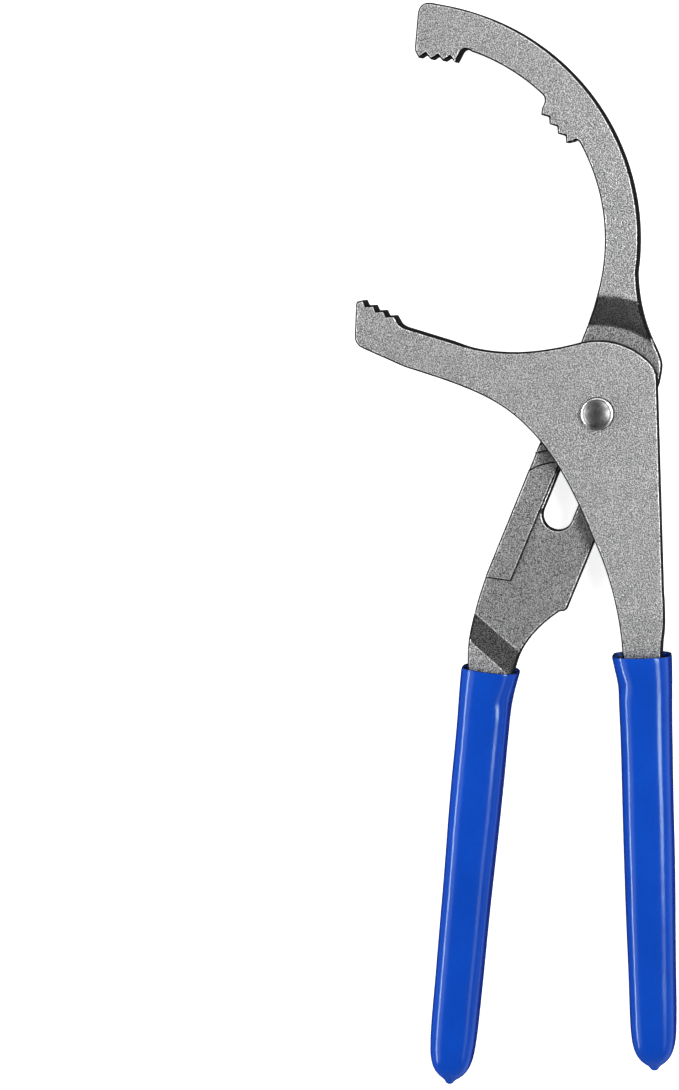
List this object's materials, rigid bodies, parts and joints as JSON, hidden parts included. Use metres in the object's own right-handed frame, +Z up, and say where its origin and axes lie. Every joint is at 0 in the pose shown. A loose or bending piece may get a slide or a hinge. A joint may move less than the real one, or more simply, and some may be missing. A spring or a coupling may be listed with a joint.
{
  "type": "oil filter wrench",
  "caption": "Tongue-and-groove pliers with an arched toothed jaw that grips round oil filter canisters, a sliding pivot for different diameters and dipped vinyl grips.",
  "frame": {"origin": "on the pivot's axis, at the end face of the bolt, which is the surface that the wrench lies on", "axes": "+Y from the handles to the arched jaw, +Z up out of the front face along the pivot's axis, +X to the right, so that the open side of the jaws faces -X"},
  "size_m": [0.0905, 0.3063, 0.0158],
  "materials": {
    "forged_steel": "grainy satin, blasted and plated",
    "pivot_steel": "smooth satin",
    "blue_vinyl": "glossy dipped vinyl"
  },
  "bodies": {
    "arch_side": {"arch_lever": "forged_steel", "left_grip": "blue_vinyl"},
    "pivot": {"pivot_bolt": "pivot_steel", "pivot_nut": "pivot_steel"},
    "jaw_side": {"jaw_lever": "forged_steel", "right_grip": "blue_vinyl"}
  },
  "joints": [
    {"name": "slot_slide", "type": "slide", "parent": "arch_side", "child": "pivot", "axis": [-0.3778, -0.9259, 0], "range_m": [0, 0.0312]},
    {"name": "jaw_pivot", "type": "hinge", "parent": "pivot", "child": "jaw_side", "pos_m": [0, 0, 0.0108], "axis": [0, 0, 1], "range_deg": [-10, 48]}
  ]
}
